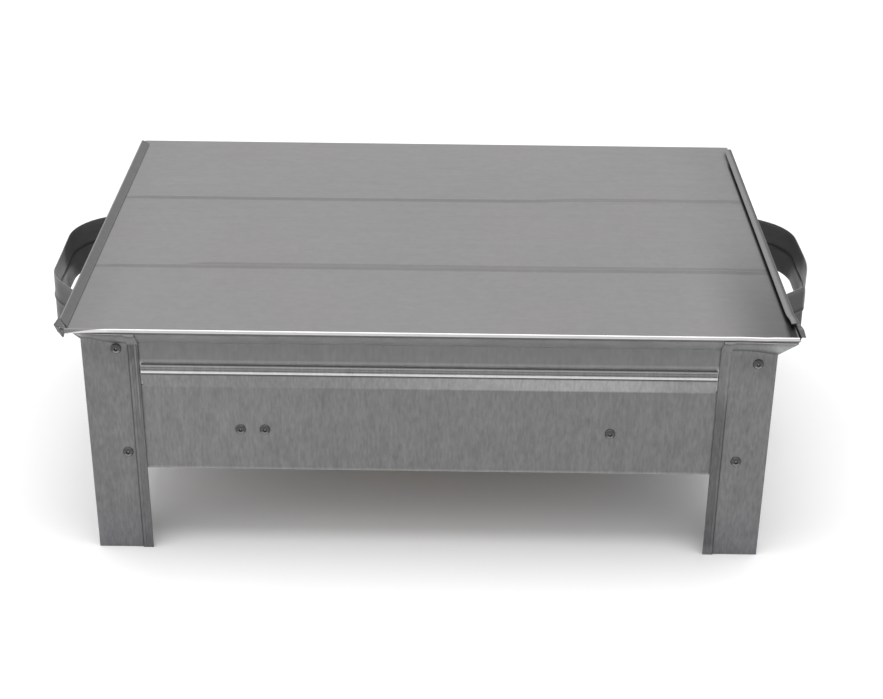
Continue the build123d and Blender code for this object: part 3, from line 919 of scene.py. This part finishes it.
def build_lid():
    """The lid: columns of points from the lip over the sheet to its rear edge."""
    rows, columns = lid_rows(), lid_columns()
    verts, faces, wear_and_highlight, tone = [], [], [], []
    for x in columns:
        outside = x < LIP_LEFT
        lip = lip_section(x)
        for k in reversed(range(LIP_STEPS)):
            y, z, shine = lip[k]
            if outside:
                y, z, shine = CUT_FRONT - 0.002 * (LIP_STEPS - k), LID_TOP, 0.0
            verts.append((x, y, z))
            # The lip's painted highlight; near the left corner the bend above it is painted darker
            # and the highlight lighter.
            wear_and_highlight.append(0.9 * shine)
            tone.append(1.0 if x > -272 else 0.8 + 0.7 * shine)
        for i, y in enumerate(rows):
            if outside:
                y = max(y, CUT_FRONT + 0.002 * i)
            verts.append((x, y, lid_height(x, y) if y > CUT_FRONT + 1 else LID_TOP))
            at_edge = abs(x) > LID_EDGE - 0.5 or y > lid_high.y - 0.5
            crest = min(abs(y - c) for c in CREASES) < 0.3 and abs(x) < 296
            wear_and_highlight.append(0.4 if at_edge else (0.16 if crest else 0.0))
            tone.append(lid_tone(x, y))
    n = LIP_STEPS + len(rows)
    for i in range(len(columns) - 1):
        for j in range(n - 1):
            a, b = i * n + j, (i + 1) * n + j
            faces.append((a, b, b + 1, a + 1))
    lid = add_object("lid_sheet", verts, faces, LID_METAL, wear_and_highlight, tone)
    solid = lid.modifiers.new("sheet thickness", "SOLIDIFY")
    solid.thickness = SHEET * 0.95 * MM
    solid.offset = -1
    solid.use_even_offset = True
    return lid


ready(build_lid(), "lid", "lid_panel")


# ---- handles ----
# Bends of each strap's grip as (out from the side of the box, distance from the front end),
# and the lengths of its front and back tabs.
HANDLE_GRIP = {
    "left": ((62.4, 100.0), (64.0, 225.0)),
    "right": ((53.0, 72.5), (64.0, 123.0), (63.4, 212.0)),
}
HANDLE_TAB = {"left": (26.0, 30.0), "right": (26.0, 17.5)}
HANDLE_RADII = {"left": (6.0, 50.0, 55.0, 6.0), "right": (6.0, 6.0, 150.0, 55.0, 6.0)}
STRAP_HALF = 0.6
GROOVE_STEPS = (-5, -3.4, -2.4, -1.5, -0.7, 0, 0.7, 1.5, 2.4, 3.4, 5)


def handle_path(side, tab, low, high):
    """The strap's middle line in plan, in short steps, from its front tab to its rear tab."""
    front, back = HANDLE_TAB[side]
    plan = [(tab, low.y), (tab, low.y + front)]
    plan += [(HALF_X + out, low.y + along) for out, along in HANDLE_GRIP[side]]
    plan += [(tab, high.y - back), (tab, high.y)]
    path = rounded(plan, HANDLE_RADII[side], steps=12)
    dense = [path[0]]
    for p in path[1:]:
        start = dense[-1]
        cuts = max(1, int((p - start).length / 5.0))
        dense += [start.lerp(p, (k + 1) / cuts) for k in range(cuts)]
    return dense


def build_handle(side, sign):
    """A strap on edge, grooved along its middle and a little twisted in its free part."""
    low, high = box_mm("handle_" + side)
    tab = HALF_X - SHEET + STRAP_HALF + 0.02
    path = handle_path(side, tab, low, high)
    groove_z = (low.z + high.z) / 2 + 1.0
    levels = [low.z, low.z + 0.5, low.z + 6]
    levels += [groove_z + k for k in GROOVE_STEPS]
    levels += [high.z - 6, high.z - 0.5, high.z]
    verts, faces, wear_and_highlight, tone = [], [], [], []
    n = 2 * len(levels)
    for i, p in enumerate(path):
        along = (path[min(i + 1, len(path) - 1)] - path[max(i - 1, 0)]).normalized()
        normal = Vector((along.y, -along.x))
        free = smooth((p.x - tab - 3) / 14)
        bow = 0.4 * math.sin(p.y / 31.0 + sign) * free
        for face in (1, -1):
            for z in (levels if face > 0 else reversed(levels)):
                deep = math.exp(-((z - groove_z) / 1.7) ** 2) * free
                edge = 0.28 if z in (levels[0], levels[-1]) else 0.0
                out = face * (STRAP_HALF - edge) + 0.9 * deep + bow * (z - groove_z) / 20
                spot = p + normal * out
                verts.append((sign * spot.x, spot.y, z))
                wear_and_highlight.append(0.12 if z <= levels[1] or z >= levels[-2] else 0.0)
                # Painted light and shade: the face towards the box lighter, more so over its front
                # part, the face away from it painted dark, both darker in the groove.
                lit = 1.05 + 1.3 * smooth((26 - p.y) / 10)
                tone.append(lit * (1 - 0.6 * deep) if face < 0 else 0.36 - 0.16 * deep)
        if i:
            a0, b0 = (i - 1) * n, i * n
            faces += [(a0 + k, a0 + (k + 1) % n, b0 + (k + 1) % n, b0 + k) for k in range(n)]
    for base in (0, (len(path) - 1) * n):
        for k in range(len(levels) - 1):
            faces.append((base + k, base + k + 1, base + n - 2 - k, base + n - 1 - k))
    handle = add_object("handle_%s_strap" % side, verts, faces, HANDLE_METAL, wear_and_highlight, tone)
    ready(handle, "box", "handle_" + side)


build_handle("left", -1)
build_handle("right", 1)


# ---- rivets ----
HEAD_HEIGHT = 2.1
TAIL = 6.0


def rivet_profile(grip):
    """Radius and height down a blind rivet: broken pin, dome, flange, shank and bulb."""
    return [
        (0.0, 1.15), (0.75, 1.1), (1.0, 0.85), (1.25, 0.85), (1.35, 1.2), (1.5, 1.95),
        (2.2, 2.08), (3.0, 1.9), (3.8, 1.5), (4.4, 0.95), (4.7, 0.45), (4.72, 0.12), (4.6, 0.02),
        (2.4, 0.0), (2.4, -grip), (2.9, -grip - 1.0), (2.9, -grip - 4.6), (2.4, -grip - 5.6),
        (1.4, -grip - TAIL), (0.0, -grip - TAIL),
    ]


def rivet_painted_light(radius, height, rise):
    """Dark with painted shade on top of the dome and in the pin's hole, bright with a painted
    reflection on the lower shoulder, and bright on the pin's broken end.
    """
    if 0.9 < radius < 1.45 and height > 0:
        return 0.12
    if 1.45 <= radius < 4.3 and rise < -0.35:
        return 0.42 + 1.0 * smooth((-rise - 0.35) / 0.5) * smooth((radius - 1.9) / 1.2)
    if radius >= 4.3:
        return 0.5
    return 0.9 if radius < 0.9 else 0.38


def rivet_at(centre, outward, grip, segments=36):
    """One rivet whose head lies on `centre`, in millimetres."""
    side = outward.cross(UP)
    verts, faces, tone = [], [], []
    profile = rivet_profile(grip)
    for k in range(segments):
        turn = 2 * math.pi * k / segments
        ray = side * math.cos(turn) + UP * math.sin(turn)
        for radius, height in profile:
            verts.append(centre + ray * max(radius, 0.02) + outward * height)
            tone.append(rivet_painted_light(radius, height, math.sin(turn)))
    n = len(profile)
    for k in range(segments):
        a, b = k * n, ((k + 1) % segments) * n
        faces += [(a + j, b + j, b + j + 1, a + j + 1) for j in range(n - 1)]
    faces.append(tuple(k * n for k in range(segments)))
    faces.append(tuple(k * n + n - 1 for k in reversed(range(segments))))
    return add_object("rivet", verts, faces, RIVET_METAL, None, tone)


def islands(node):
    """Boxes of the separate solids in a CAD node, in millimetres."""
    bm = bmesh.new()
    bm.from_mesh(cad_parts[node].data)
    bmesh.ops.remove_doubles(bm, verts=bm.verts, dist=1e-6)
    seen, found = set(), []
    for seed in bm.verts:
        if seed in seen:
            continue
        stack, low, high = [seed], seed.co.copy(), seed.co.copy()
        seen.add(seed)
        while stack:
            vert = stack.pop()
            for axis in range(3):
                low[axis] = min(low[axis], vert.co[axis])
                high[axis] = max(high[axis], vert.co[axis])
            for edge in vert.link_edges:
                other = edge.other_vert(vert)
                if other not in seen:
                    seen.add(other)
                    stack.append(other)
        found.append((low / MM, high / MM))
    bm.free()
    return found


for node in ("leg_rivets", "bracket_rivets", "handle_rivets", "entrance_pivot"):
    made = []
    for low, high in sorted(islands(node), key=lambda b: tuple(b[0])):
        middle, size = (low + high) / 2, high - low
        axis = 0 if abs(size.y - size.z) < abs(size.x - size.z) else 1
        outward = Vector((0, 0, 0))
        outward[axis] = 1.0 if middle[axis] > 0 else -1.0
        grip = size[axis] - HEAD_HEIGHT - TAIL
        head = middle.copy()
        face = high[axis] if outward[axis] > 0 else low[axis]
        head[axis] = face - outward[axis] * HEAD_HEIGHT
        made.append(rivet_at(head, outward, grip))
    ready(joined(node + "_domed", made), "box", node)


# ---- floor wire ----
WIRE_PITCH = 6.4
WIRE_RADIUS = 0.4


def build_floor_wire():
    """Two layers of crossed round wires."""
    low, high = box_mm("floor_mesh")
    verts, faces = [], []

    def wire(start, end, side):
        along = (end - start).normalized()
        base = len(verts)
        for spot in (start, end):
            for k in range(6):
                turn = math.pi * k / 3
                verts.append(spot + (side * math.cos(turn) + UP * math.sin(turn)) * WIRE_RADIUS)
        for k in range(6):
            after = base + (k + 1) % 6
            faces.append((base + k, after, after + 6, base + k + 6))
        faces.append(tuple(base + k for k in reversed(range(6))))
        faces.append(tuple(base + 6 + k for k in range(6)))

    length, width = high.x - low.x - 2, high.y - low.y - 2
    count_x, count_y = int(length / WIRE_PITCH), int(width / WIRE_PITCH)
    lower, upper = low.z + WIRE_RADIUS, low.z + WIRE_RADIUS * 2.9
    for i in range(count_x + 1):
        x = low.x + 1 + length * i / count_x
        wire(Vector((x, low.y, lower)), Vector((x, high.y, lower)), RIGHT)
    for j in range(count_y + 1):
        y = low.y + 1 + width * j / count_y
        wire(Vector((low.x, y, upper)), Vector((high.x, y, upper)), BACK)
    return add_object("floor_wire", verts, faces, WIRE_METAL)


floor_wire = build_floor_wire()
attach(floor_wire, "box")
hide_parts("floor_mesh")


# ---- CAD pieces whose shape is right: finer edges and their own material ----
def dress(node, material, bevel, segments=2):
    """A CAD piece with its own material and slightly rounded edges."""
    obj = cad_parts[node]
    obj.data.materials.clear()
    obj.data.materials.append(material)
    for polygon in obj.data.polygons:
        polygon.material_index = 0
    weld = obj.modifiers.new("weld", "WELD")
    weld.merge_threshold = 1e-6
    edge = obj.modifiers.new("soft edges", "BEVEL")
    edge.width = bevel * MM
    edge.segments = segments
    edge.limit_method = "ANGLE"
    edge.angle_limit = math.radians(40)
    edge.harden_normals = False


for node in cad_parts:
    if node.startswith("top_bar_"):
        dress(node, BAR_WOOD, 1.5, 3)
dress("follower_board", BOARD_WOOD, 0.9, 3)
for node in ("rail_front", "rail_back", "floor_strap_left", "floor_strap_right", "floor_frame"):
    dress(node, FLOOR_METAL, 0.25)
dress("entrance_disc", DISC_METAL, 0.25)

# ---- floor, light and camera ----
base_low, base_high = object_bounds()
base = Vector(((base_low.x + base_high.x) / 2, (base_low.y + base_high.y) / 2, base_low.z))


def build_stage():
    """A plain pale floor under the object."""
    mesh = bpy.data.meshes.new("floor")
    size = 9.0
    corners = [(-size, -size), (size, -size), (size, size), (-size, size)]
    mesh.from_pydata([(base.x + x, base.y + y, base.z) for x, y in corners], [], [(0, 1, 2, 3)])
    n = Nodes("pale_floor")
    shader = n.add("ShaderNodeBsdfPrincipled")
    level = n.math("MULTIPLY", n.spread(n.noise(1.5, 2.0), 0.01), 0.86)
    n.link(n.grey(level), shader.inputs["Base Color"])
    shader.inputs["Roughness"].default_value = 0.8
    n.link(shader.outputs[0], n.out.inputs["Surface"])
    mesh.materials.append(n.material)
    floor = bpy.data.objects.new("floor", mesh)
    bpy.context.scene.collection.objects.link(floor)


def build_world():
    """Soft light from all round, a little brighter towards the top and the floor."""
    world = bpy.data.worlds.new("studio")
    bpy.context.scene.world = world
    world.use_nodes = True
    tree = world.node_tree
    tree.nodes.clear()
    coords = tree.nodes.new("ShaderNodeTexCoord")
    split = tree.nodes.new("ShaderNodeSeparateXYZ")
    spread = tree.nodes.new("ShaderNodeMapRange")
    spread.inputs["From Min"].default_value = -1.0
    ramp = tree.nodes.new("ShaderNodeValToRGB")
    back = tree.nodes.new("ShaderNodeBackground")
    out = tree.nodes.new("ShaderNodeOutputWorld")
    stops = ((0.0, 0.9), (0.5, 0.78), (0.72, 0.95), (1.0, 1.0))
    elements = ramp.color_ramp.elements
    while len(elements) < len(stops):
        elements.new(0.5)
    for element, (place, level) in zip(elements, stops):
        element.position = place
        element.color = (level, level, level * 1.005, 1)
    back.inputs["Strength"].default_value = 1.15
    links = tree.links
    links.new(coords.outputs["Generated"], split.inputs[0])
    links.new(split.outputs["Z"], spread.inputs["Value"])
    links.new(spread.outputs[0], ramp.inputs["Fac"])
    links.new(ramp.outputs["Color"], back.inputs["Color"])
    links.new(back.outputs[0], out.inputs["Surface"])


def softbox(name, place, aim, size, radiance):
    """A rectangular soft light; radiance is what a mirror would see of it."""
    light = bpy.data.lights.new(name, "AREA")
    light.shape = "RECTANGLE"
    light.size, light.size_y = size
    light.energy = radiance * math.pi * size[0] * size[1]
    obj = bpy.data.objects.new(name, light)
    obj.location = base + Vector(place)
    direction = (base + Vector(aim)) - obj.location
    obj.rotation_euler = direction.to_track_quat("-Z", "Y").to_euler()
    bpy.context.scene.collection.objects.link(obj)


CAMERA_YAW, CAMERA_PITCH, CAMERA_ROLL = -0.33, 27.4, 0.59
CAMERA_LENS = 70.84
CAMERA_PLACE = (0.0181, -1.5372, 0.8952)


def build_camera():
    """The camera; its angles are in degrees, its place is in metres from the base."""
    yaw, pitch, roll = (math.radians(a) for a in (CAMERA_YAW, CAMERA_PITCH, CAMERA_ROLL))
    level = Vector((math.sin(yaw), math.cos(yaw), 0))
    ahead = level * math.cos(pitch) - UP * math.sin(pitch)
    right = Vector((math.cos(yaw), -math.sin(yaw), 0))
    up = right.cross(ahead)
    turned = right * math.cos(roll) + up * math.sin(roll)
    up = up * math.cos(roll) - right * math.sin(roll)
    camera = bpy.data.cameras.new("camera")
    camera.sensor_width = 36.0
    camera.lens = CAMERA_LENS
    obj = bpy.data.objects.new("camera", camera)
    axes = Matrix((turned, up, -ahead)).transposed().to_4x4()
    obj.matrix_world = Matrix.Translation(base + Vector(CAMERA_PLACE)) @ axes
    bpy.context.scene.collection.objects.link(obj)
    bpy.context.scene.camera = obj


build_stage()
build_world()
softbox("overhead", (0.0, -0.35, 2.0), (0.0, 0.0, 0.2), (2.2, 1.2), 2.6)
softbox("left_fill", (-2.2, -0.6, 1.0), (0.0, 0.0, 0.2), (1.2, 1.2), 0.8)
build_camera()
bpy.context.scene.view_settings.view_transform = "Standard"
